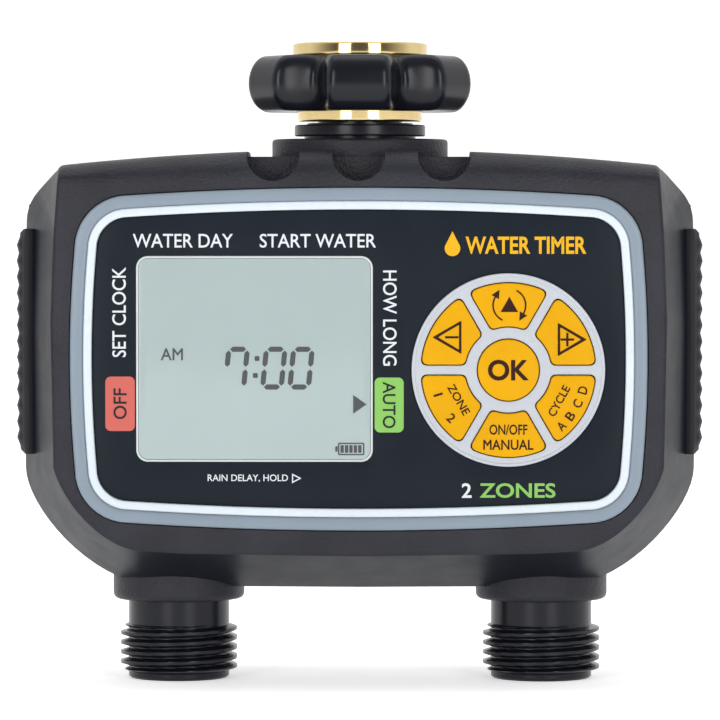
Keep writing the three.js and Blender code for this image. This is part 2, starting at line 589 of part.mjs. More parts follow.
for (let i = 0; i < 4; i++) {
  const x = (i - 1.5) * CELL_PITCH;
  const sleeve = rod('z', [CELL_Z, CELL_Z + CELL_LENGTH - 1.2], CELL_R, [x, CELL_Y], 24);
  const nub = rod('z', [CELL_Z + CELL_LENGTH - 1.2, CELL_Z + CELL_LENGTH], 2.75, [x, CELL_Y], 12);
  const cell = sleeve.add(nub);
  place(`battery_${i + 1}`, cell, CELL_SLEEVE);
}

export default group;
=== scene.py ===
import json
import math

import bmesh
import bpy
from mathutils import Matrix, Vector


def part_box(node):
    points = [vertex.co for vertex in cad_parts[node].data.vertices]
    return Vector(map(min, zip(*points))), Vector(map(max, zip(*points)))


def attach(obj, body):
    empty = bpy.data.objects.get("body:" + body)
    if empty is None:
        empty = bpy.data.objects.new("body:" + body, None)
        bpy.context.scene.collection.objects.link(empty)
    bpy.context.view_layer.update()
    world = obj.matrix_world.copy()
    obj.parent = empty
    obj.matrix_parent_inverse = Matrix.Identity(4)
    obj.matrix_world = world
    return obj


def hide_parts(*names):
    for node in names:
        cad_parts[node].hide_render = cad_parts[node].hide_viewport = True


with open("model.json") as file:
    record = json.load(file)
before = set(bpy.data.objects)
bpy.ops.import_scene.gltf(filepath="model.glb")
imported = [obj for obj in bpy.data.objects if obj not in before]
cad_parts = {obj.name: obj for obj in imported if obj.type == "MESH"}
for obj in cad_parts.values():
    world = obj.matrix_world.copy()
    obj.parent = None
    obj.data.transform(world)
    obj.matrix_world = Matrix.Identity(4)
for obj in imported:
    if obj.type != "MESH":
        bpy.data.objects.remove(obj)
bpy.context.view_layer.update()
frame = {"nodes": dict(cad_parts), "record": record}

# Two-zone hose water timer. Sizes are in millimetres, and the mesh helpers multiply them by MM.
# The stage, the lights, the camera and the materials' distances are in metres.
MM = 0.001


def span(node):
    """A CAD node's lowest and highest corners, in millimetres."""
    low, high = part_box(node)
    return [value / MM for value in low], [value / MM for value in high]


# ---------------- materials
def new_material(name, color, roughness, metallic=0.0):
    material = bpy.data.materials.new(name)
    material.use_nodes = True
    shader = material.node_tree.nodes["Principled BSDF"]
    shader.inputs["Base Color"].default_value = (*color, 1)
    shader.inputs["Roughness"].default_value = roughness
    shader.inputs["Metallic"].default_value = metallic
    return material, material.node_tree, shader


def noise(tree, scale, detail=2.0, stretch=(1, 1, 1)):
    """Noise in the object's own coordinates. scale counts features per metre."""
    place = tree.nodes.new("ShaderNodeTexCoord")
    mapping = tree.nodes.new("ShaderNodeMapping")
    texture = tree.nodes.new("ShaderNodeTexNoise")
    mapping.inputs["Scale"].default_value = stretch
    texture.inputs["Scale"].default_value = scale
    texture.inputs["Detail"].default_value = detail
    tree.links.new(place.outputs["Object"], mapping.inputs["Vector"])
    tree.links.new(mapping.outputs["Vector"], texture.inputs["Vector"])
    return texture.outputs["Fac"]


def ramp(tree, value, low, high, start=0.3, end=0.7):
    node = tree.nodes.new("ShaderNodeValToRGB")
    node.color_ramp.elements[0].position = start
    node.color_ramp.elements[0].color = (*low, 1)
    node.color_ramp.elements[1].position = end
    node.color_ramp.elements[1].color = (*high, 1)
    tree.links.new(value, node.inputs["Fac"])
    return node.outputs["Color"]


def bump(tree, shader, height, strength, distance):
    node = tree.nodes.new("ShaderNodeBump")
    node.inputs["Strength"].default_value = strength
    node.inputs["Distance"].default_value = distance
    tree.links.new(height, node.inputs["Height"])
    tree.links.new(node.outputs["Normal"], shader.inputs["Normal"])


def moulded(name, color, roughness, grain=900, depth=4e-5, strength=0.35, shift=0.12, shine=0.25):
    """Moulded plastic or rubber: a fine spark-eroded grain, soft mottling, uneven gloss."""
    material, tree, shader = new_material(name, color, roughness)
    shader.inputs["Specular IOR Level"].default_value = shine
    darker = [part * (1 - shift) for part in color]
    lighter = [part * (1 + shift) for part in color]
    mottle = noise(tree, 60, 4)
    tree.links.new(ramp(tree, mottle, darker, lighter), shader.inputs["Base Color"])
    gloss = noise(tree, 140, 3)
    low = (roughness * 0.9,) * 3
    high = (min(1, roughness * 1.1),) * 3
    tree.links.new(ramp(tree, gloss, low, high), shader.inputs["Roughness"])
    bump(tree, shader, noise(tree, grain, 3), strength, depth)
    return material


def printed(name, color, shift=0.03, shine=0.1):
    """Screen-printed ink: matt, with hardly any grain."""
    return moulded(name, color, 0.5, 900, 1e-5, 0.1, shift, shine)


def machined(name, color, roughness):
    """Turned metal: fine rings about the vertical axis and a little tarnish."""
    material, tree, shader = new_material(name, color, roughness, 1.0)
    tarnish = noise(tree, 90, 4)
    dull = [part * 0.82 for part in color]
    tree.links.new(ramp(tree, tarnish, dull, color), shader.inputs["Base Color"])
    rings = noise(tree, 500, 2, (0.04, 0.04, 6))
    bump(tree, shader, rings, 0.15, 3e-5)
    return material


def make_materials():
    """Plastics give their name, colour and roughness, then the grain's count per metre, its depth and
    its strength, then how far the colour mottles, then the shine."""
    return {
        "housing": moulded("housing_textured", (0.0125, 0.013, 0.0195), 0.42, 1700, 2e-4, 1.0, 0.3, 0.27),
        # The side plastic's smoother grain and gloss are real, and its darker colour is painted shade on the
        # sloped sides and underside.
        "side": moulded("housing_smooth_painted_shade", (0.0075, 0.0085, 0.0135), 0.36, 1100, 2e-5, 0.2, 0.12, 0.1),
        "grip": moulded("grip_rubber", (0.012, 0.012, 0.016), 0.6, 1000, 8e-5, 0.6),
        "black": moulded("black_satin", (0.0065, 0.0072, 0.0115), 0.24, 1100, 2e-5, 0.25, 0.12, 0.25),
        "ring": moulded("bezel_grey", (0.19, 0.235, 0.285), 0.36, 900, 2e-5, 0.2, 0.03, 0.4),
        "trim": moulded("bezel_pale", (0.56, 0.62, 0.67), 0.28, 700, 1e-5, 0.15, 0.02, 0.4),
        "panel": moulded("panel_film", (0.0085, 0.0125, 0.0185), 0.34, 1400, 1e-5, 0.2, 0.05, 0.10),
        "lcd": moulded("lcd_glass", (0.325, 0.39, 0.39), 0.12, 300, 4e-6, 0.05, 0.015, 0.3),
        # lcd_rim: a pale colour that paints the highlight along the display window's edge.
        "lcd_rim": moulded("lcd_rim", (0.50, 0.54, 0.54), 0.15, 700, 1e-5, 0.1, 0.02, 0.4),
        "segment": moulded("lcd_segment", (0.06, 0.065, 0.065), 0.4, 900, 1e-5, 0.1, 0.02),
        "pad": moulded("keypad_pale", (0.43, 0.455, 0.50), 0.3, 700, 1e-5, 0.12, 0.02, 0.4),
        "key": moulded("key_yellow", (0.62, 0.31, 0.0004), 0.42, 900, 2e-5, 0.3, 0.05, 0.1),
        "legend": printed("legend_brown", (0.03, 0.009, 0.006), 0.05),
        "white_ink": printed("white_ink", (0.58, 0.61, 0.64), 0.02, 0.25),
        "yellow_ink": printed("yellow_ink", (0.66, 0.36, 0.012), 0.02),
        "green_ink": printed("green_ink", (0.205, 0.44, 0.10)),
        "red_ink": printed("red_ink", (0.50, 0.115, 0.095)),
        "dark_ink": printed("dark_ink", (0.018, 0.02, 0.022)),
        "shadow": moulded("seam_shadow", (0.004, 0.004, 0.004), 0.7, 900, 1e-5, 0.1, 0.03, 0.1),
        "brass": machined("brass", (0.80, 0.62, 0.30), 0.09),
        "steel": machined("steel", (0.55, 0.56, 0.58), 0.3),
        "copper": machined("copper", (0.62, 0.27, 0.12), 0.35),
        "rubber": moulded("black_rubber", (0.012, 0.012, 0.013), 0.7, 700, 3e-5, 0.4),
        "board": moulded("board_green", (0.015, 0.09, 0.035), 0.45, 500, 3e-5, 0.3),
        "nylon": moulded("nylon", (0.62, 0.60, 0.54), 0.45, 700, 3e-5, 0.3, 0.04, 0.4),
        "cell": moulded("cell_sleeve", (0.03, 0.033, 0.042), 0.25, 400, 1e-5, 0.1, 0.12, 0.5),
    }


MATERIALS = make_materials()

# The material of each CAD slot, where its name isn't the slot's own.
SLOT_MATERIALS = {"black_plastic": "black", "bezel_grey": "ring", "bezel_light": "trim",
                  "lcd_glass": "lcd", "keypad": "pad", "keys": "key"}


def dress_cad_nodes():
    """Gives each carried-over node its material and soft shading with sharp creases."""
    slots = {entry["node"]: entry["material_slot"] for entry in frame["record"]["subparts"]}
    for name, node in frame["nodes"].items():
        node.data.materials.clear()
        slot = slots[name]
        node.data.materials.append(MATERIALS[SLOT_MATERIALS.get(slot, slot)])
        node.data.shade_smooth()
        node.data.set_sharp_from_angle(angle=math.radians(32))


# ---------------- mesh helpers
def add_object(name, data):
    item = bpy.data.objects.new(name, data)
    bpy.context.scene.collection.objects.link(item)
    return item


def finish_piece(name, mesh, material, body, stands_for=()):
    """Gives a mesh its material and shading, the body it moves with and the CAD nodes it replaces."""
    piece = add_object(name, mesh)
    mesh.materials.append(MATERIALS[material])
    mesh.shade_smooth()
    mesh.set_sharp_from_angle(angle=math.radians(35))
    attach(piece, body)
    if stands_for:
        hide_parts(*stands_for)
    return piece


def mesh_from(name, points, faces):
    mesh = bpy.data.meshes.new(name)
    mesh.from_pydata([tuple(value * MM for value in point) for point in points], [], faces)
    work = bmesh.new()
    work.from_mesh(mesh)
    bmesh.ops.recalc_face_normals(work, faces=work.faces)
    work.to_mesh(mesh)
    work.free()
    return mesh


def inset(outline, distance):
    """Moves a closed outline (anticlockwise) inwards by distance."""
    count = len(outline)
    moved = []
    for i, point in enumerate(outline):
        before = Vector(outline[i - 1])
        after = Vector(outline[(i + 1) % count])
        tangent = (after - before).normalized()
        moved.append((point[0] - tangent.y * distance, point[1] + tangent.x * distance))
    return moved


def plate(name, outline, y_front, y_back, material, body, edge=0.0, holes=(), stands_for=()):
    """A flat plate with the given outline in X and Z, its front edges rounded to radius edge."""
    steps = 4 if edge > 0.1 else (1 if edge else 0)
    levels = [(0.0, y_back)]
    for i in range(steps + 1):
        angle = math.pi / 2 * i / max(steps, 1)
        levels.append((edge * (1 - math.cos(angle)), y_front + edge * (1 - math.sin(angle))))
    work = bmesh.new()
    end_edges = {0: [], len(levels) - 1: []}
    for loop, sign in [(outline, 1)] + [(hole, -1) for hole in holes]:
        rings = []
        for distance, y in levels:
            moved = inset(loop, sign * distance) if distance else loop
            rings.append([work.verts.new((x * MM, y * MM, z * MM)) for x, z in moved])
        count = len(loop)
        for low, high in zip(rings, rings[1:]):
            for i in range(count):
                k = (i + 1) % count
                work.faces.new((low[i], low[k], high[k], high[i]))
        for level, edges in end_edges.items():
            ring = rings[level]
            edges.extend(work.edges.get((ring[i], ring[(i + 1) % count])) for i in range(count))
    for edges in end_edges.values():
        bmesh.ops.triangle_fill(work, use_beauty=True, use_dissolve=False, edges=edges)
    bmesh.ops.recalc_face_normals(work, faces=work.faces)
    mesh = bpy.data.meshes.new(name)
    work.to_mesh(mesh)
    work.free()
    return finish_piece(name, mesh, material, body, stands_for)


def ring_faces(rings, count, closed=False):
    """Faces between neighbouring rings of count points. closed joins the last ring to the first."""
    faces = []
    for k in range(rings if closed else rings - 1):
        near = k * count
        far = (k + 1) % rings * count
        for i in range(count):
            n = (i + 1) % count
            faces.append((near + i, near + n, far + n, far + i))
    return faces


def lathe(name, profile, material, body, centre=(0, 0), sides=96, stands_for=()):
    """Turns a closed [radius, z] profile about a vertical axis."""
    points = []
    for i in range(sides):
        angle = 2 * math.pi * i / sides
        for radius, z in profile:
            points.append((centre[0] + radius * math.cos(angle), centre[1] + radius * math.sin(angle), z))
    faces = ring_faces(sides, len(profile), closed=True)
    return finish_piece(name, mesh_from(name, points, faces), material, body, stands_for)


def turned(name, rings, centre, start, material, body, stands_for):
    """A closed solid about a vertical axis, from (z, radii) rings that begin at the angle start."""
    points = []
    for z, radii in rings:
        for i, radius in enumerate(radii):
            angle = math.radians(start + 360 * i / len(radii))
            points.append((centre[0] + radius * math.cos(angle), centre[1] + radius * math.sin(angle), z))
    faces = ring_faces(len(rings), len(rings[0][1]), closed=True)
    return finish_piece(name, mesh_from(name, points, faces), material, body, stands_for)


def round_corners(corners, radius, steps=5):
    """Rounds a profile's corners. Each corner is (x, z) or (x, z, own radius)."""
    result = []
    count = len(corners)
    for i, corner in enumerate(corners):
        here = Vector(corner[:2])
        own = corner[2] if len(corner) > 2 else radius
        back = Vector(corners[i - 1][:2]) - here
        ahead = Vector(corners[(i + 1) % count][:2]) - here
        if own <= 0:
            result.append(tuple(here))
            continue
        start = here + back.normalized() * min(own, back.length / 2)
        end = here + ahead.normalized() * min(own, ahead.length / 2)
        for k in range(steps + 1):
            t = k / steps
            point = start * (1 - t) ** 2 + here * 2 * t * (1 - t) + end * t ** 2
            result.append(tuple(point))
    return result


# ---------------- outlines
def arc(cx, cz, radius, start, end, steps):
    """Points on an arc, angles in degrees."""
    return [(cx + radius * math.cos(math.radians(start + (end - start) * i / steps)),
             cz + radius * math.sin(math.radians(start + (end - start) * i / steps)))
            for i in range(steps + 1)]


def circle(cx, cz, radius, steps=72):
    return arc(cx, cz, radius, 0, 360, steps)[:-1]


def rounded_box(low, high, radius, steps=8):
    corners = [(high[0] - radius, high[1] - radius, 0), (low[0] + radius, high[1] - radius, 90),
               (low[0] + radius, low[1] + radius, 180), (high[0] - radius, low[1] + radius, 270)]
    return [point for cx, cz, start in corners for point in arc(cx, cz, radius, start, start + 90, steps)]


BEZEL_LOW, BEZEL_HIGH = span("bezel_ring")
BEZEL_HALF_WIDTH = BEZEL_HIGH[0]
BEZEL_CORNER = 12
BOW_X = 1.1
BOW_Z = 1.7


def bezel_outline(distance, corner_steps=10, side_steps=24):
    """The bezel's rounded rectangle with bowed sides, moved in by distance."""
    middle = (BEZEL_LOW[2] + BEZEL_HIGH[2]) / 2
    half_height = (BEZEL_HIGH[2] - BEZEL_LOW[2]) / 2 - distance
    half_width = BEZEL_HALF_WIDTH - distance
    flat = rounded_box((-half_width + BOW_X, middle - half_height + BOW_Z),
                       (half_width - BOW_X, middle + half_height - BOW_Z),
                       BEZEL_CORNER - distance, corner_steps)
    bowed = []
    for i, (x, z) in enumerate(flat):
        bowed.append((x, z))
        if i % (corner_steps + 1) != corner_steps:
            continue
        next_x, next_z = flat[(i + 1) % len(flat)]
        along_x = abs(next_x - x) > abs(next_z - z)
        for k in range(1, side_steps):
            share = k / side_steps
            bow = 4 * share * (1 - share)
            mid_x = x + (next_x - x) * share
            mid_z = z + (next_z - z) * share
            if along_x:
                mid_z += math.copysign(bow * BOW_Z, mid_z - middle)
            else:
                mid_x += math.copysign(bow * BOW_X, mid_x)
            bowed.append((mid_x, mid_z))
    return bowed


# ---------------- lettering and signs
INK = 0.05          # thickness of printed ink
LIFT = 0.01         # gap between ink and the surface under it


def place_flat(name, mesh, centre, degrees, y_surface, material, body, size=None):
    """Turns a mesh drawn in X and Y into print on the front: fitted to size, turned, placed."""
    xs = [vertex.co.x for vertex in mesh.vertices]
    ys = [vertex.co.y for vertex in mesh.vertices]
    middle = ((min(xs) + max(xs)) / 2, (min(ys) + max(ys)) / 2)
    width, height = max(xs) - min(xs), max(ys) - min(ys)
    scale_x = size[0] / width if size and size[0] else (size[1] / height if size else 1)
    scale_y = size[1] / height if size and size[1] else scale_x
    turn = math.radians(degrees)
    for vertex in mesh.vertices:
        u = (vertex.co.x - middle[0]) * scale_x
        v = (vertex.co.y - middle[1]) * scale_y
        y = y_surface - LIFT - (INK if vertex.co.z > 0 else 0)
        x = centre[0] + u * math.cos(turn) - v * math.sin(turn)
        z = centre[1] + u * math.sin(turn) + v * math.cos(turn)
        vertex.co = Vector((x, y, z)) * MM
    return finish_piece(name, mesh, material, body)


def thicken(work, weight):
    """Moves the letters' outlines outwards by weight, each vertex along its own mitre."""
    work.normal_update()
    moves = {}
    for vertex in work.verts:
        sides = [face.normal.xy for face in vertex.link_faces if abs(face.normal.z) < 0.5]
        if len(sides) < 2:
            continue
        total = Vector((0, 0))
        for side in sides:
            total += side
        if total.length > 0.05:
            mitre = total.normalized()
            lean = max(0.55, max(abs(mitre.dot(side.normalized())) for side in sides))
            moves[vertex] = mitre * weight / lean
    for vertex, move in moves.items():
        vertex.co.x += move.x
        vertex.co.y += move.y


def text(name, words, centre, size, y_surface, material, body, degrees=0, weight=0.0):
    """Printed words, fitted to size = (width, height) in millimetres."""
    curve = bpy.data.curves.new(name + "_curve", "FONT")
    curve.body = words
    curve.extrude = 0.05
    curve.resolution_u = 4
    holder = add_object(name + "_holder", curve)
    bpy.context.view_layer.update()
    mesh = bpy.data.meshes.new_from_object(holder)
    bpy.data.objects.remove(holder)
    bpy.data.curves.remove(curve)
    work = bmesh.new()
    work.from_mesh(mesh)
    bmesh.ops.remove_doubles(work, verts=work.verts, dist=1e-5)
    thicken(work, weight)
    work.to_mesh(mesh)
    work.free()
    mesh.name = name
    return place_flat(name, mesh, centre, degrees, y_surface, material, body, size)


def sign(name, outline, y_surface, material, body, slot, holes=()):
    """A flat printed shape given directly by its outline on the front."""
    return plate(name, outline, y_surface - INK - LIFT, y_surface - LIFT, material, body, 0, holes)


def stroke(start, end, width):
    """The outline of a straight stroke between two points, with squared ends."""
    a, b = Vector(start), Vector(end)
    across = Vector((-(b - a).y, (b - a).x)).normalized() * width / 2
    return [tuple(a - across), tuple(b - across), tuple(b + across), tuple(a + across)]


# ---------------- panel and display
KEYPAD_LOW, KEYPAD_HIGH = span("keypad_plate")
PAD_X = (KEYPAD_LOW[0] + KEYPAD_HIGH[0]) / 2
PAD_Z = (KEYPAD_LOW[2] + KEYPAD_HIGH[2]) / 2
PAD_R = (KEYPAD_HIGH[0] - KEYPAD_LOW[0]) / 2
LCD_LOW, LCD_HIGH = span("lcd_window")
PANEL_Y = span("face_panel")[0][1]
RING_Y = span("bezel_ring")[0][1]
TRIM_Y = span("bezel_trim")[0][1]
POCKET_Y = span("face_panel")[1][1]
RING_WIDTH = 2.95
TRIM_WIDTH = 1.95


def build_bezel():
    plate("bezel_ring_moulding", bezel_outline(0.05), RING_Y, POCKET_Y, "ring", "housing",
          0.7, [bezel_outline(RING_WIDTH)], ["bezel_ring"])
    plate("bezel_trim_moulding", bezel_outline(RING_WIDTH + 0.02), TRIM_Y - 0.3, POCKET_Y, "trim",
          "housing", 0.45, [bezel_outline(RING_WIDTH + TRIM_WIDTH)], ["bezel_trim"])


def window_outline(grow, radius):
    """The display window's rounded rectangle, larger by grow on every side."""
    low = (LCD_LOW[0] - grow, LCD_LOW[2] - grow)
    high = (LCD_HIGH[0] + grow, LCD_HIGH[2] + grow)
    return rounded_box(low, high, radius)


def build_panel():
    outline = bezel_outline(RING_WIDTH + TRIM_WIDTH + 0.12)
    holes = [window_outline(0.35, 2.7), circle(PAD_X, PAD_Z, PAD_R + 0.35)]
    plate("face_panel_film", outline, PANEL_Y, POCKET_Y, "panel", "housing", 0.12, holes,
          ["face_panel"])


GLASS_Y = LCD_LOW[1] + 0.1


def build_display():
    # A thin pale ring round the window, its colour a painted highlight on the window's edge.
    plate("display_rim_painted_highlight", window_outline(0.3, 2.65), PANEL_Y - 0.25, POCKET_Y, "lcd_rim", "housing",
          0.2, [window_outline(-0.2, 2.2)])
    plate("display_glass", window_outline(-0.25, 2.15), GLASS_Y, POCKET_Y, "lcd", "housing",
          0.12, (), ["lcd_window"])
    build_digits()
    build_display_pointer()
    build_battery_sign()


# The bars lit in each digit: a top, b and c the right side, d bottom, e and f the left side.
SEGMENTS = {"7": "abcf", "0": "abcdef"}
SLANT = 0.1
DIGIT_WIDTH = 5.3
DIGIT_HEIGHT = 9.6
DIGIT_LEFTS = (19.0, 27.4, 33.5)       # from the window's left edge
DIGIT_LOW = LCD_LOW[2] + 15.9
COLON_LEFT = 25.6
COLON_RISES = (2.6, 6.4)
COLON_DOT = 1.1
BAR_WIDTH = 1.15
BAR_GAP = 0.16


def lcd_sign(name, outline, holes=()):
    sign(name, outline, GLASS_Y, "segment", "housing", "lcd_glass", holes)


def digit_segments(left):
    """Outlines of a seven-segment digit's outer bars, keyed a to f. No digit here lights the middle bar."""
    half = DIGIT_HEIGHT / 2

    def bar(x0, z0, x1, z1):
        along = Vector((x1 - x0, z1 - z0)).normalized()
        side = Vector((-along.y, along.x)) * BAR_WIDTH / 2
        a = Vector((x0, z0)) + along * (BAR_GAP + BAR_WIDTH * 0.1)
        b = Vector((x1, z1)) - along * (BAR_GAP + BAR_WIDTH * 0.1)
        cut = along * BAR_WIDTH / 2
        corners = [a, a + cut - side, b - cut - side, b, b - cut + side, a + cut + side]
        return [(left + p.x + SLANT * p.y, DIGIT_LOW + p.y) for p in corners]

    inner = BAR_WIDTH / 2
    right = DIGIT_WIDTH - inner
    top = DIGIT_HEIGHT - inner
    return {
        "a": bar(inner, top, right, top), "b": bar(right, half, right, top),
        "c": bar(right, inner, right, half), "d": bar(inner, inner, right, inner),
        "e": bar(inner, inner, inner, half), "f": bar(inner, half, inner, top),
    }


def build_digits():
    for place, (digit, left) in enumerate(zip("700", DIGIT_LEFTS)):
        bars = digit_segments(LCD_LOW[0] + left)
        for letter in SEGMENTS[digit]:
            lcd_sign(f"digit_{place + 1}_{letter}", bars[letter])
    for i, rise in enumerate(COLON_RISES):
        x = LCD_LOW[0] + COLON_LEFT + SLANT * rise
        z = DIGIT_LOW + rise
        lcd_sign(f"digit_colon_{i + 1}", rounded_box((x, z), (x + COLON_DOT, z + COLON_DOT), 0.25, 3))
    text("display_am", "AM", (LCD_LOW[0] + 7.7, LCD_LOW[2] + 23.8), (5.0, 2.7), GLASS_Y, "segment",
         "housing", weight=0.012)


def build_display_pointer():
    x = LCD_HIGH[0] - 4.1
    z = LCD_LOW[2] + 12.6
    half = 2.1
    lcd_sign("display_pointer", [(x, z - half), (x + 3.0, z), (x, z + half)])


def build_battery_sign():
    """A battery's outline with its nub, and five bars of charge in it."""
    left, low = LCD_HIGH[0] - 7.5, LCD_LOW[2] + 1.2
    right, high = left + 5.9, low + 2.8
    line = 0.3
    inside = rounded_box((left + line, low + line), (right - line, high - line), 0.15, 2)
    lcd_sign("battery_sign_case", rounded_box((left, low), (right, high), 0.3, 2), [inside])
    lcd_sign("battery_sign_nub", rounded_box((left - 0.6, low + 0.8), (left - 0.1, high - 0.8), 0.1, 2))
    for i in range(5):
        x = left + 0.55 + i * 0.99
        lcd_sign(f"battery_sign_bar_{i + 1}", rounded_box((x, low + 0.55), (x + 0.75, high - 0.55), 0.1, 2))


def build_labels():
    """Each label's words, centre, size and turn in degrees, then the two coloured tabs."""
    y = PANEL_Y
    words = [
        ("label_water_day", "WATER DAY", (-39.3, 100.9), (22.4, 3.1), 0),
        ("label_start_water", "START WATER", (-9.1, 100.9), (26.0, 3.1), 0),
        ("label_set_clock", "SET CLOCK", (-53.6, 84.9), (20.1, 3.1), 90),
        ("label_how_long", "HOW LONG", (7.0, 83.6), (21.3, 3.1), -90),
        ("label_rain_delay", "RAIN DELAY, HOLD", (-24.8, 47.7), (18.0, 1.75), 0),
    ]
    for name, body, centre, size, degrees in words:
        text(name, body, centre, size, y, "white_ink", "housing", degrees, 0.008)
    build_hold_sign(y)
    build_tab("off", (-56.7, 58.3), (-50.1, 70.5), "red_ink", "OFF", (6.9, 3.0), 90)
    build_tab("auto", (3.6, 58.0), (10.1, 70.3), "green_ink", "AUTO", (10.4, 2.9), -90)
    drop = arc(21.0, 99.2, 1.75, -215, 35, 20) + [(21.0, 103.0)]
    sign("drop_sign", drop, y, "yellow_ink", "housing", "panel")
    text("label_water_timer", "WATER TIMER", (37.4, 99.9), (27.0, 3.9), y, "yellow_ink", "housing",
         0, 0.025)
    text("label_two", "2", (24.2, 45.0), (2.2, 3.3), y, "white_ink", "housing", 0, 0.02)
    text("label_zones", "ZONES", (35.6, 45.0), (17.0, 3.3), y, "green_ink", "housing", 0, 0.02)


def build_hold_sign(y):
    """An outlined triangle after the words RAIN DELAY, HOLD."""
    left, middle, half = -14.9, 47.7, 1.1
    back = left + 0.25
    small = half - 0.45
    outer = [(left, middle - half), (left + 2.1, middle), (left, middle + half)]
    inner = [(back, middle - small), (left + 1.55, middle), (back, middle + small)]
    sign("hold_sign", outer, y, "white_ink", "housing", "panel", [inner])


def build_tab(name, low, high, ink, word, size, degrees):
    sign(f"tab_{name}", rounded_box(low, high, 1.2, 5), PANEL_Y, ink, "housing", "panel")
    centre = ((low[0] + high[0]) / 2, (low[1] + high[1]) / 2)
    text(f"tab_{name}_word", word, centre, size, PANEL_Y - INK - LIFT, "dark_ink", "housing",
         degrees, 0.01)


# ---------------- keypad
# Where each outer key sits, in degrees from the right.
KEYS = {"key_up": 90, "key_plus": 30, "key_minus": 150, "key_zone": 210, "key_manual": 270,
        "key_cycle": 330}
KEY_RING = (9.75, 19.45)
KEY_FRONT = span("key_ok")[0][1]
KEY_BACK = span("key_ok")[1][1]
OK_R = (span("key_ok")[1][0] - span("key_ok")[0][0]) / 2
SPOKE_HALF = 1.22
HOLE_GROW = 0.22


def sector(degrees, grow=0.0, outer_corner=1.6, inner_corner=1.2):
    """A ring sector between two parallel-sided spokes, with its four corners rounded."""
    inner, outer = KEY_RING[0] - grow, KEY_RING[1] + grow
    trims = [30 - math.degrees(math.asin((SPOKE_HALF - grow) / radius)) for radius in (inner, outer)]
    soft = [math.degrees(outer_corner / outer), math.degrees(inner_corner / inner)]
    outer_arc = arc(0, 0, outer, degrees - trims[1] + soft[0], degrees + trims[1] - soft[0], 16)
    inner_arc = arc(0, 0, inner, degrees + trims[0] - soft[1], degrees - trims[0] + soft[1], 8)
    corner = {}
    for radius, trim in zip((inner, outer), trims):
        for side in (-1, 1):
            angle = math.radians(degrees + side * trim)
            corner[radius, side] = Vector((radius * math.cos(angle), radius * math.sin(angle)))
    points = list(outer_arc)
    points += turn_corner(outer_arc[-1], corner[outer, 1], corner[inner, 1], outer_corner)
    points += turn_corner(inner_arc[0], corner[inner, 1], corner[outer, 1], inner_corner)[::-1]
    points += inner_arc
    points += turn_corner(inner_arc[-1], corner[inner, -1], corner[outer, -1], inner_corner)
    points += turn_corner(outer_arc[0], corner[outer, -1], corner[inner, -1], outer_corner)[::-1]
    clean = []
    for point in points:
        if not clean or (Vector(point) - Vector(clean[-1])).length > 1e-3:
            clean.append(point)
    return [(PAD_X + x, PAD_Z + z) for x, z in clean]


def turn_corner(start, corner, towards, radius, steps=6):
    """A smooth turn from start, round corner, to radius further along towards."""
    start = Vector(start)
    end = corner + (towards - corner).normalized() * radius
    return [tuple(start * (1 - t) ** 2 + corner * 2 * t * (1 - t) + end * t ** 2)
            for t in (k / steps for k in range(1, steps + 1))]


def build_keypad():
    holes = [circle(PAD_X, PAD_Z, OK_R + HOLE_GROW, 64)]
    holes += [sector(degrees, HOLE_GROW) for degrees in KEYS.values()]
    plate("keypad_face", circle(PAD_X, PAD_Z, PAD_R, 96), KEYPAD_LOW[1], KEYPAD_HIGH[1], "pad", "housing",
          0.15, holes, ["keypad_plate"])
    rim = circle(PAD_X, PAD_Z, PAD_R + 0.25, 96)
    plate("keypad_rim", rim, KEYPAD_LOW[1] - 0.2, KEYPAD_HIGH[1], "pad", "housing", 0.3,
          [circle(PAD_X, PAD_Z, PAD_R - 0.55, 96)])
    plate("key_ok_cap", circle(PAD_X, PAD_Z, OK_R, 64), KEY_FRONT, KEY_BACK, "key", "key_ok", 0.35,
          (), ["key_ok"])
    for name, degrees in KEYS.items():
        plate(f"{name}_cap", sector(degrees), KEY_FRONT, KEY_BACK, "key", name, 0.35, (), [name])
    plate("keypad_shadow", circle(PAD_X, PAD_Z, PAD_R - 1), KEYPAD_HIGH[1] - 0.6, KEYPAD_HIGH[1] - 0.2,
          "shadow", "housing", 0,
          [circle(PAD_X, PAD_Z, OK_R + 0.05, 64)] + [sector(degrees, 0.05) for degrees in KEYS.values()])
    build_legends()


def key_text(name, words, offset, size, degrees, body):
    text(name, words, (PAD_X + offset[0], PAD_Z + offset[1]), size, KEY_FRONT, "legend", body,
         degrees, 0.03 if words == "OK" else 0.016)


def key_sign(name, outline, body, holes=()):
    shifted = [[(PAD_X + x, PAD_Z + z) for x, z in loop] for loop in [outline, *holes]]
    sign(name, shifted[0], KEY_FRONT, "legend", body, "keys", shifted[1:])


def build_legends():
    key_text("legend_ok", "OK", (0, 0), (9.2, 4.7), 0, "key_ok")
    key_text("legend_zone", "ZONE", (-11.1, -6.6), (7.4, 1.9), -60, "key_zone")
    key_text("legend_zone_1", "1", (-15.7, -5.5), (0.5, 2.1), -73, "key_zone")
    key_text("legend_zone_2", "2", (-12.8, -10.7), (1.5, 2.1), -45, "key_zone")
    key_text("legend_on_off", "ON/OFF", (0, -13.3), (8.5, 2.3), 0, "key_manual")
    key_text("legend_manual", "MANUAL", (0, -16.7), (11.2, 2.3), 0, "key_manual")
    key_text("legend_cycle", "CYCLE", (11.3, -6.9), (7.4, 1.9), 61, "key_cycle")
    for letter, angle in zip("ABCD", (-46.5, -36.5, -25.8, -15)):
        spot = (17.2 * math.cos(math.radians(angle)), 17.2 * math.sin(math.radians(angle)))
        key_text(f"legend_cycle_{letter}", letter, spot, (1.7, 2.1), angle + 90, "key_cycle")
    key_sign("legend_up", [(-1.75, 13.0), (2.15, 13.0), (0.2, 16.4)], "key_up")
    build_turning_arrows()
    build_triangle("legend_minus", -1, (-13.4, 7.35), "key_minus")
    build_triangle("legend_plus", 1, (13.9, 6.85), "key_plus")


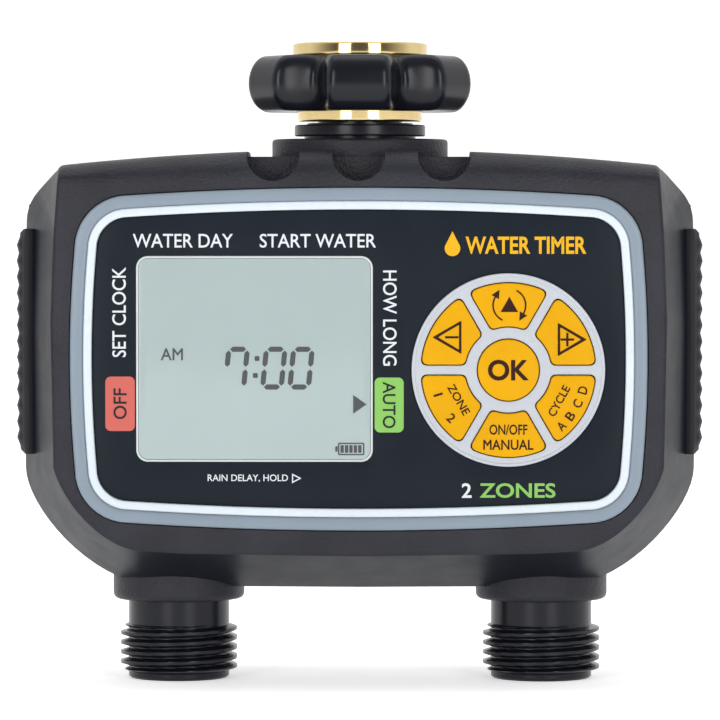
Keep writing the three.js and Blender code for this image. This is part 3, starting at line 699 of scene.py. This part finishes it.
def build_triangle(name, side, middle, body):
    """An outlined triangle pointing to one side, with a minus or a plus in it."""
    tip, back, half = 3.6, 2.9, 3.75
    cx, cz = middle

    def triangle(shrink):
        x = cx - side * (back - shrink)
        rise = half - 1.75 * shrink
        corners = [(cx + side * (tip - 2.3 * shrink), cz), (x, cz + rise), (x, cz - rise)]
        ordered = corners if side > 0 else corners[::-1]
        return round_corners(ordered, 0.3, 3)

    key_sign(name, triangle(0), body, [triangle(0.55)])
    x = cx - side * 0.75
    reach, width = 1.5, 0.5
    key_sign(f"{name}_bar", stroke((x - reach, cz), (x + reach, cz), width), body)
    if side > 0:
        for i, (start, end) in enumerate([(width / 2, reach), (-reach, -width / 2)]):
            key_sign(f"{name}_post_{i + 1}", stroke((x, cz + start), (x, cz + end), width), body)


def build_turning_arrows():
    """Two curved arrows that chase each other round the up key's triangle."""
    centre = (0.2, 14.5)
    radius, width = 3.65, 0.36
    for i, start in enumerate((245, 65)):
        outer = arc(*centre, radius + width / 2, start, start - 95, 16)
        inner = arc(*centre, radius - width / 2, start - 95, start, 16)
        key_sign(f"legend_turn_{i + 1}", (outer + inner)[::-1], "key_up")
        angle = math.radians(start - 95)
        base = Vector((centre[0] + radius * math.cos(angle), centre[1] + radius * math.sin(angle)))
        ahead = Vector((math.sin(angle), -math.cos(angle)))
        side = Vector((-ahead.y, ahead.x))
        head = [base - side * 0.95, base + ahead * 1.9, base + side * 0.95]
        key_sign(f"legend_turn_head_{i + 1}", [tuple(point) for point in head], "key_up")


# ---------------- housing shells
SHELL_FRONT_Y = -33.0
PART_Y = span("front_cover")[1][1]
REAR_START_Y = span("rear_cover")[0][1]
REAR_Y = span("rear_cover")[1][1]
REAR_EDGE = 5.0
ROLL_R = 7.5
CROWN_Z = 121.4
FRONT_TOP_Z = 113.5
TOP_STEPS = 24


def bezier(points, steps=16):
    a, b, c, d = (Vector(point) for point in points)
    return [tuple(a * (1 - t) ** 3 + b * 3 * t * (1 - t) ** 2 + c * 3 * t * t * (1 - t) + d * t ** 3)
            for t in (i / steps for i in range(steps + 1))]


def whole(half):
    """Mirrors a right half, top centre to bottom centre, into a closed outline."""
    return half + [(-point[0], *point[1:]) for point in half[-2:0:-1]]


def top_row(width, height):
    return [(width * i / TOP_STEPS, height(width * i / TOP_STEPS)) for i in range(TOP_STEPS)]


def crown(x):
    return CROWN_Z - x * x / 1300


# The housing where its shells meet, at its front face and at its back: the top's row of points, the upper
# corners, then the curved lower side. A third number on a corner is its rounding.
WIDE = whole(top_row(68.4, crown) + [(68.4, 117.8, 2.5), (76.2, 109.3, 4), (76.8, 80)]
             + bezier([(76.6, 49), (76.6, 40), (62, 22.5), (47, 21.6)]) + [(38, 21.5), (0, 21.3)])
FACE = whole(top_row(67.3, lambda x: FRONT_TOP_Z) + [(67.3, FRONT_TOP_Z, 1.2), (68.2, 100.8, 4), (68.85, 83)]
             + bezier([(68.2, 50), (66.4, 43), (58.5, 33), (49.7, 31.6)]) + [(39.9, 31), (0, 30.35)])
REAR = whole(top_row(64.5, lambda x: crown(x) - 4.4)
             + [(64.5, crown(64.5) - 4.4, 4), (71.6, 106.5, 4), (72.2, 80)]
             + bezier([(72, 50), (72, 42), (59, 27.5), (46, 26)]) + [(38, 25.8), (0, 25.6)])


def blend_outline(first, second, share, lift=None):
    """Between two outlines; the front face's top edge follows its own roll, given as lift."""
    mixed = []
    for a, b in zip(first, second):
        x = a[0] + (b[0] - a[0]) * share
        z = a[1] + (b[1] - a[1]) * share
        if lift is not None and a[1] == FRONT_TOP_Z:
            z = a[1] + (b[1] - a[1]) * lift
        mixed.append((x, z, *[r + (b[2] - r) * share for r in a[2:]]))
    return mixed


def front_outline(y):
    depth = min(y - SHELL_FRONT_Y, ROLL_R)
    lift = math.sqrt(max(0.0, 1 - (1 - depth / ROLL_R) ** 2))
    share = (y - SHELL_FRONT_Y) / (PART_Y - SHELL_FRONT_Y)
    return blend_outline(FACE, WIDE, share, lift)


def rear_outline(y):
    straight = min(y, REAR_Y - REAR_EDGE)
    return blend_outline(WIDE, REAR, (straight - REAR_START_Y) / (REAR_Y - REAR_START_Y))


def loft_object(name, rings):
    """A closed skin over (outline, y) rings, with a flat face at each end."""
    points = [(x, y, z) for outline, y in rings for x, z in outline]
    count = len(rings[0][0])
    faces = [tuple(range(count)), tuple(range(len(points) - count, len(points)))]
    faces += ring_faces(len(rings), count)
    return add_object(name, mesh_from(name, points, faces))


def shrink(outline, wall):
    """Draws a shell outline in towards its middle by about wall on every side."""
    middle, half_width, half_height = 71, 70, 44
    wide = 1 - wall / half_width
    tall = 1 - wall / half_height
    return [(x * wide, middle + (z - middle) * tall) for x, z in outline]


def lofted(name, make, rings):
    """rings is a list of (y, distance moved in)."""
    return loft_object(name, [(shrink(round_corners(make(y), 0), distance), y) for y, distance in rings])


def rod_tool(axis, ends, radius, centre, sides=64):
    """A round cutter along Y or Z."""
    ring = circle(centre[0], centre[1], radius, sides)
    if axis == "y":
        return loft_object("tool", [(ring, ends[0]), (ring, ends[1])])
    count = len(ring)
    points = [(x, y, z) for z in ends for x, y in ring]
    faces = [tuple(range(count)), tuple(range(count, 2 * count))]
    faces += ring_faces(2, count)
    return add_object("tool", mesh_from("tool", points, faces))


def box_tool(low, high):
    ring = [(low[0], low[2]), (high[0], low[2]), (high[0], high[2]), (low[0], high[2])]
    return loft_object("tool", [(ring, low[1]), (ring, high[1])])


def cut(base, tools):
    """Cuts each tool out of base in turn, and removes the tool."""
    for tool in tools:
        modifier = base.modifiers.new("cut", "BOOLEAN")
        modifier.operation = "DIFFERENCE"
        modifier.solver = "EXACT"
        modifier.object = tool
        bpy.context.view_layer.update()
        graph = bpy.context.evaluated_depsgraph_get()
        mesh = bpy.data.meshes.new_from_object(base.evaluated_get(graph))
        base.modifiers.clear()
        old = base.data
        base.data = mesh
        bpy.data.meshes.remove(old)
        bpy.data.objects.remove(tool)


SCOOPS = (-19.2, 0.0, 19.2)
SCOOP_R = 5.95
SCREWS = ((-62, 60), (62, 60), (-59, 103), (59, 103))
OUTLETS = (-41.8, 41.8)
FRONT_WALL = 2.6
REAR_WALL = 2.4
FRONT_BOSS_R = 3.6
REAR_BOSS_R = 5
SCREW_ROOM_R = 3.8
WINDOW_LOW = (-48.3, 52.9)            # the opening behind the display, in X and Z
WINDOW_HIGH = (1.7, 96)
KEYPAD_ROOM_R = KEY_RING[1] + 0.75
# The battery tray's opening steps outwards towards the back: each step's lowest and highest corner.
TRAY_STEPS = [((-32.3, 20, 39.9), (32.3, 40, 96.7)), ((-34.7, 30, 37.5), (34.7, 40, 99.1)),
              ((-36.3, 30.7, 35.7), (36.3, 40, 100.9))]
INLET_ROOM_R = 13.1
OUTLET_ROOM_R = 11.9
COLLAR_ROOM_R = 15.4
COLLAR_ROOM_Z = 24.7
LEDGE_LOW = (-25.1, -24, 119.8)       # the flat step in the crown that the inlet collar stands on
LEDGE_HIGH = (25.1, 24, 130)


def scoop_tools(grow=0.0):
    return [rod_tool("y", (-40, -22 + grow), SCOOP_R + grow, (x, 120.2)) for x in SCOOPS]


def shared_cuts():
    """What both shells make room for: the ledge under the inlet, the inlet and the outlets."""
    cuts = [box_tool(LEDGE_LOW, LEDGE_HIGH), rod_tool("z", (100, 130), INLET_ROOM_R, (0, 0), 96)]
    for x in OUTLETS:
        cuts.append(rod_tool("z", (10, COLLAR_ROOM_Z), COLLAR_ROOM_R, (x, 0), 96))
        cuts.append(rod_tool("z", (10, 40), OUTLET_ROOM_R, (x, 0), 96))
    return cuts


def thick_places():
    """Where both cavities leave the wall thick: over each outlet and under the ledge."""
    return [rod_tool("z", (10, 27), 17, (x, 0)) for x in OUTLETS] + [
        box_tool((-27.5, -26.5, 117.4), (27.5, 26, 130))]


def dress_shell(shell, name, stands_for):
    """Textured front and top; smooth sloped sides and underside in a darker colour that is painted shade;
    then its place in the model.
    """
    shell.name = name
    mesh = shell.data
    mesh.name = name
    mesh.materials.clear()
    mesh.materials.append(MATERIALS["housing"])
    mesh.materials.append(MATERIALS["side"])
    # Faces turned sideways or down, low on the shell, take the side plastic: a real smooth finish, with
    # painted shade in its darker colour.
    for face in mesh.polygons:
        sloped = abs(face.normal.x) > 0.3 or face.normal.z < -0.2
        low_side = face.center.z < CROWN_Z * MM * 0.92
        face.material_index = 1 if sloped and low_side and face.center.y > (SHELL_FRONT_Y + 0.6) * MM else 0
    mesh.shade_smooth()
    mesh.set_sharp_from_angle(angle=math.radians(28))
    bevel = shell.modifiers.new("edge", "BEVEL")
    bevel.width = 0.25 * MM
    bevel.segments = 2
    bevel.limit_method = "ANGLE"
    bevel.angle_limit = math.radians(40)
    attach(shell, "housing")
    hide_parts(stands_for)


def build_front_shell():
    """The front cover: a hollow shell with a rolled top edge, its openings and three scoops."""
    roll = [SHELL_FRONT_Y + ROLL_R * (1 - math.cos(math.radians(angle))) for angle in range(25, 91, 9)]
    rings = [(SHELL_FRONT_Y, 0.75), (SHELL_FRONT_Y + 0.15, 0.3), (SHELL_FRONT_Y + 0.5, 0.0)]
    rings += [(y, 0.0) for y in roll if y > SHELL_FRONT_Y + 0.6] + [(-19, 0.0), (-13, 0.0)]
    shell = lofted("front_shell", front_outline, rings + [(PART_Y - 0.35, 0.0), (PART_Y, 0.3)])
    levels = (-29, -25, PART_Y - 0.2)
    cavity = lofted("cavity", front_outline, [(y, FRONT_WALL) for y in levels])
    bosses = [rod_tool("y", (-31, PART_Y + 2), FRONT_BOSS_R, place, 40) for place in SCREWS]
    cut(cavity, bosses + scoop_tools(2) + thick_places())
    levels = (PART_Y - 0.6, PART_Y - 0.1, PART_Y + 2)
    opening = lofted("opening", front_outline, [(y, FRONT_WALL) for y in levels])
    pocket_outline = bezel_outline(-0.2)
    pocket = loft_object("pocket", [(pocket_outline, -40), (pocket_outline, POCKET_Y)])
    window_edge = rounded_box(WINDOW_LOW, WINDOW_HIGH, 1.5)
    window = loft_object("window", [(window_edge, -40), (window_edge, -27)])
    keys = rod_tool("y", (-40, -27), KEYPAD_ROOM_R, (PAD_X, PAD_Z))
    cut(shell, [cavity, opening, pocket, window, keys] + scoop_tools() + shared_cuts())
    dress_shell(shell, "front_cover_shell", "front_cover")


def build_rear_shell():
    """The rear cover: a hollow shell with a rounded back edge and the battery tray's stepped opening."""
    edge = []
    for angle in range(0, 91, 15):
        turn = math.radians(angle)
        edge.append((REAR_Y - REAR_EDGE * (1 - math.sin(turn)), REAR_EDGE * (1 - math.cos(turn))))
    rings = [(REAR_START_Y, 0.3), (REAR_START_Y + 0.35, 0.0), (4, 0.0), (16, 0.0)] + edge
    shell = lofted("rear_shell", rear_outline, rings)
    levels = (REAR_START_Y + 0.01, 10, REAR_Y - REAR_EDGE)
    cavity = lofted("cavity", rear_outline, [(y, REAR_WALL) for y in levels])
    bosses = [rod_tool("y", (REAR_START_Y - 2, 30), REAR_BOSS_R, place, 48) for place in SCREWS]
    cut(cavity, bosses + thick_places())
    opening = [box_tool(low, high) for low, high in TRAY_STEPS]
    screw_room = [rod_tool("y", (-1, 40), SCREW_ROOM_R, place, 48) for place in SCREWS]
    cut(shell, [cavity, *opening, *screw_room] + shared_cuts())
    dress_shell(shell, "rear_cover_shell", "rear_cover")


# ---------------- side grips
GRIP_ROWS = 56
GRIP_FOOT_X = 75.6          # where a grip begins to stand out of the shell
RIB_HEIGHT = 0.5
ROWS_PER_RIB = 4
GRIP_PLAN = [(73.6, -15.6), (75.9, -16.2), (76.9, -14.4), (77.7, -12.2), (77.7, 1.4), (77.0, 5.4),
             (76.2, 6.5), (74.8, 6.2), (75.6, -7)]


def build_grip(label, side):
    """A soft grip with rounded ribs across it, proud of the shell's side and easing in at its ends."""
    low, high = span(f"grip_{label}")
    plan = round_corners(GRIP_PLAN, 0.8, 3)
    points = []
    for k in range(GRIP_ROWS + 1):
        z = low[2] + (high[2] - low[2]) * k / GRIP_ROWS
        end = min(k, GRIP_ROWS - k) / 5
        ease = 1.0 if end >= 1 else math.sqrt(1 - (1 - end) ** 2)
        rib = RIB_HEIGHT * (0.5 + 0.5 * math.cos(2 * math.pi * k / ROWS_PER_RIB))
        for x, y in plan:
            proud = x - GRIP_FOOT_X
            if proud > 0:
                x = GRIP_FOOT_X + proud * (0.45 + 0.55 * ease)
            if proud > 1.2:
                x += rib * ease
            points.append((side * x, y, z))
    count = len(plan)
    faces = [tuple(range(count)), tuple(range(len(points) - count, len(points)))]
    faces += ring_faces(GRIP_ROWS + 1, count)
    name = f"grip_{label}_moulding"
    finish_piece(name, mesh_from(name, points, faces), "grip", "housing", [f"grip_{label}"])


# ---------------- inlet
GRIP_LOW, GRIP_HIGH = span("nut_grip")
NUT_LOW, NUT_HIGH = span("swivel_nut")


GRIP_FLAT = -GRIP_LOW[1]    # from the axis to the flat end of a lobe
GRIP_VALLEY = 19.8
GRIP_BORE = 14.6
GRIP_ROUND = 4.4
LOBE_HALF = 12              # degrees of full radius on each side of a lobe's middle
LOBE_FALL = 17              # degrees from there down to the valley
NUT_BORE = 9.9
NUT_BODY_R = 14.35
SOCKET_R = 13.2
SOCKET_FLOOR = 130.3
NUT_PITCH = 2.2
NECK_BORE = 6.5


def lobe_radius(degrees):
    """The grip's radius at an angle from the front: a flat-ended lobe every 60 degrees."""
    off = abs((degrees + 30) % 60 - 30)
    share = min(1.0, max(0.0, (off - LOBE_HALF) / LOBE_FALL))
    fall = share * share * (3 - 2 * share)
    end = GRIP_FLAT / math.cos(math.radians(min(off, 15)))
    return end + (GRIP_VALLEY - end) * fall


def build_nut_grip():
    """The lobed grip: six lobes, one to the front, with rounded rims."""
    around, rows = 240, 20
    middle = (GRIP_LOW[2] + GRIP_HIGH[2]) / 2
    half = (GRIP_HIGH[2] - GRIP_LOW[2]) / 2
    rings = []
    for k in range(rows + 1):
        lean = math.radians(-90 + 180 * k / rows)
        pull = GRIP_ROUND * (1 - math.cos(lean))
        radii = [lobe_radius(360 * i / around) - pull for i in range(around)]
        rings.append((middle + half * math.sin(lean), radii))
    rings += [(z, [GRIP_BORE] * around) for z in (GRIP_HIGH[2], GRIP_LOW[2])]
    turned("nut_grip_moulding", rings, (0, 0), -90, "black", "swivel", ["nut_grip"])


def build_nut():
    """The brass nut, with the thread's ridges inside its socket."""
    top, low = NUT_HIGH[2], NUT_LOW[2]
    rim = NUT_HIGH[0]
    shoulder = GRIP_HIGH[2] + 0.1
    profile = round_corners([
        (NUT_BORE, low, 0), (NUT_BODY_R, low, 0.5), (NUT_BODY_R, shoulder, 0), (rim, shoulder, 0.4),
        (rim, top, 0.6), (SOCKET_R, top, 0.5), (SOCKET_R, SOCKET_FLOOR, 0), (NUT_BORE, SOCKET_FLOOR, 0)], 0.3)
    threads = []
    for i, (radius, z) in enumerate(profile):
        threads.append((radius, z))
        next_z = profile[(i + 1) % len(profile)][1]
        if abs(radius - SOCKET_R) < 0.01 and z > top - 1.2 and next_z < SOCKET_FLOOR + 0.7:
            for turn in range(5):
                start = top - 2.0 - turn * NUT_PITCH
                threads += [(SOCKET_R, start), (SOCKET_R - 0.7, start - 0.7),
                            (SOCKET_R - 0.7, start - 1.1), (SOCKET_R, start - 1.8)]
    lathe("swivel_nut_turned", threads, "brass", "swivel", stands_for=["swivel_nut"])


def build_inlet():
    """The collar on the crown and the flanged neck that holds the nut."""
    lathe("inlet_collar_moulding", round_corners([
        (13.1, 119.8, 0), (20.2, 119.8, 0), (20.2, 124, 0.9), (13.1, 124, 0.3)], 0.3),
        "housing", "housing", stands_for=["inlet_collar"])
    lathe("inlet_neck_moulding", round_corners([
        (NECK_BORE, 106, 0), (9, 106, 0), (9, 113, 0), (12.8, 113, 0), (12.8, 124.7, 0),
        (15.05, 124.7, 0.35), (15.05, 127.3, 0.5), (12.15, 127.3, 0), (12.15, 127.7, 0), (9.5, 127.7, 0),
        (9.5, 130.8, 0), (11.25, 130.8, 0.2), (11.25, 132.3, 0.2), (NECK_BORE, 132.3, 0.2)], 0.3),
        "black", "housing", stands_for=["inlet_neck"])


# ---------------- outlets
THREAD_ROOT = 11.6
THREAD_PITCH = 2.21
THREAD_START = 1.5
THREAD_END = 12.6
OUTLET_BORE = 7.5
COLLAR_R = 15.1
COLLAR_LOW = 18.3
COLLAR_HIGH = 24.6


def thread_radius(z, turn, crest):
    """The outside radius at height z, turn (0 to 1) round the axis: a helix that fades at both ends."""
    phase = ((z - THREAD_START) / THREAD_PITCH - turn) % 1
    ridge = min(1.0, max(0.0, 2.1 * (1 - abs(2 * phase - 1)) - 0.35))
    fade = min(1.0, max(0.0, (z - THREAD_START) / 0.8)) * min(1.0, max(0.0, (THREAD_END - z) / 0.9))
    chamfer = 0.5 * max(0.0, 1 - z / 0.5)
    return THREAD_ROOT - chamfer + (crest - THREAD_ROOT) * ridge * fade


def build_outlet(label):
    """A threaded outlet and the collar over its upper end."""
    node = f"outlet_{label}"
    low, high = span(node)
    centre = ((low[0] + high[0]) / 2, (low[1] + high[1]) / 2)
    crest = (high[0] - low[0]) / 2
    around, step = 96, 0.14
    steps = int((THREAD_END + 1) / step)
    levels = [0.0] + [0.15 + step * k for k in range(steps)] + [COLLAR_LOW, high[2]]
    rings = [(z, [thread_radius(z, i / around, crest) for i in range(around)]) for z in levels]
    bore = [(high[2], OUTLET_BORE), (0.5, OUTLET_BORE), (0.0, OUTLET_BORE + 0.5)]
    rings += [(z, [radius] * around) for z, radius in bore]
    turned(f"{node}_moulding", rings, centre, 0, "black", "housing", [node])
    inside = THREAD_ROOT + 0.3
    lathe(f"outlet_collar_{label}_moulding", round_corners([
        (inside, COLLAR_LOW, 0), (COLLAR_R, COLLAR_LOW, 1.6), (COLLAR_R, COLLAR_HIGH, 0),
        (inside, COLLAR_HIGH, 0)], 0.3),
        "housing", "housing", centre, stands_for=[f"outlet_collar_{label}"])


# ---------------- stage, light and camera
FRONT_DIM = 0.12            # the surround's strength in front of the object
FLOOR_GLOW = 0.45           # the floor and backdrop are a lit table, as in a product studio
LIGHT_AIM = (0, 0, 0.08)
SOFTBOX_PLACE = (0.45, -0.95, 0.3)
SOFTBOX_SIZE = (0.36, 0.8)
SOFTBOX_WATTS = 5.0
TOP_LIGHT_PLACE = (0, 0.1, 1.1)
TOP_LIGHT_SIZE = (0.9, 0.6)
TOP_LIGHT_WATTS = 2
CAMERA_PLACE = (0.011, -1.1, 0.108)
CAMERA_AIM = (0.0, 0.0, 0.0732)
CAMERA_LENS = 238.7


def area_light(name, place, size, power):
    data = bpy.data.lights.new(name, "AREA")
    data.shape = "RECTANGLE"
    data.size, data.size_y = size
    data.energy = power
    light = add_object(name, data)
    light.location = place
    light.rotation_euler = (Vector(LIGHT_AIM) - Vector(place)).to_track_quat("-Z", "Y").to_euler()


def build_surround():
    """White behind and beside the object, dim in front of it, where the camera stands."""
    world = bpy.data.worlds.new("studio")
    bpy.context.scene.world = world
    world.use_nodes = True
    tree = world.node_tree
    background = tree.nodes["Background"]
    background.inputs["Color"].default_value = (1, 1, 1, 1)
    direction = tree.nodes.new("ShaderNodeTexCoord")
    split = tree.nodes.new("ShaderNodeSeparateXYZ")
    fall = tree.nodes.new("ShaderNodeMapRange")
    fall.inputs["From Min"].default_value = -0.75
    fall.inputs["From Max"].default_value = 0.1
    fall.inputs["To Min"].default_value = FRONT_DIM
    fall.inputs["To Max"].default_value = 1.0
    seen = tree.nodes.new("ShaderNodeLightPath")
    strength = tree.nodes.new("ShaderNodeMath")
    strength.operation = "MAXIMUM"
    tree.links.new(direction.outputs["Generated"], split.inputs["Vector"])
    tree.links.new(split.outputs["Y"], fall.inputs["Value"])
    tree.links.new(fall.outputs["Result"], strength.inputs[0])
    tree.links.new(seen.outputs["Is Camera Ray"], strength.inputs[1])
    tree.links.new(strength.outputs["Value"], background.inputs["Strength"])


def build_stage():
    """A pale floor that curves up into a backdrop, the surround and three area lights."""
    wide, front, back, bend, top = 2.5, -3.0, 1.0, 0.6, 2.2
    profile = [(front, 0.0)]
    for i in range(17):
        angle = math.pi / 2 * i / 16
        profile.append((back + bend * math.sin(angle), bend * (1 - math.cos(angle))))
    profile.append((back + bend, top))
    points = [(side * wide, y, z) for y, z in profile for side in (-1, 1)]
    faces = [(2 * i, 2 * i + 1, 2 * i + 3, 2 * i + 2) for i in range(len(profile) - 1)]
    mesh = bpy.data.meshes.new("floor")
    mesh.from_pydata(points, [], faces)
    mesh.shade_smooth()
    floor = add_object("floor", mesh)
    pale = moulded("floor_pale", (0.93, 0.93, 0.93), 0.7, 200, 2e-5, 0.1, 0.01)
    lit = pale.node_tree.nodes["Principled BSDF"]
    lit.inputs["Emission Color"].default_value = (1, 1, 1, 1)
    lit.inputs["Emission Strength"].default_value = FLOOR_GLOW
    mesh.materials.append(pale)
    build_surround()
    x, y, z = SOFTBOX_PLACE
    for side in (-1, 1):
        area_light(f"softbox_{side}", (side * x, y, z), SOFTBOX_SIZE, SOFTBOX_WATTS)
    area_light("top_light", TOP_LIGHT_PLACE, TOP_LIGHT_SIZE, TOP_LIGHT_WATTS)
    bpy.context.scene.view_settings.view_transform = "Standard"


def build_camera():
    data = bpy.data.cameras.new("camera")
    data.lens = CAMERA_LENS
    data.sensor_width = 36
    camera = add_object("camera", data)
    camera.location = CAMERA_PLACE
    aim = Vector(CAMERA_AIM) - camera.location
    camera.rotation_euler = aim.to_track_quat("-Z", "Y").to_euler()
    bpy.context.scene.camera = camera


dress_cad_nodes()
build_stage()
build_camera()
build_front_shell()
build_rear_shell()
build_grip("left", -1)
build_grip("right", 1)
build_bezel()
build_panel()
build_display()
build_labels()
build_keypad()
build_nut_grip()
build_nut()
build_inlet()
build_outlet("left")
build_outlet("right")
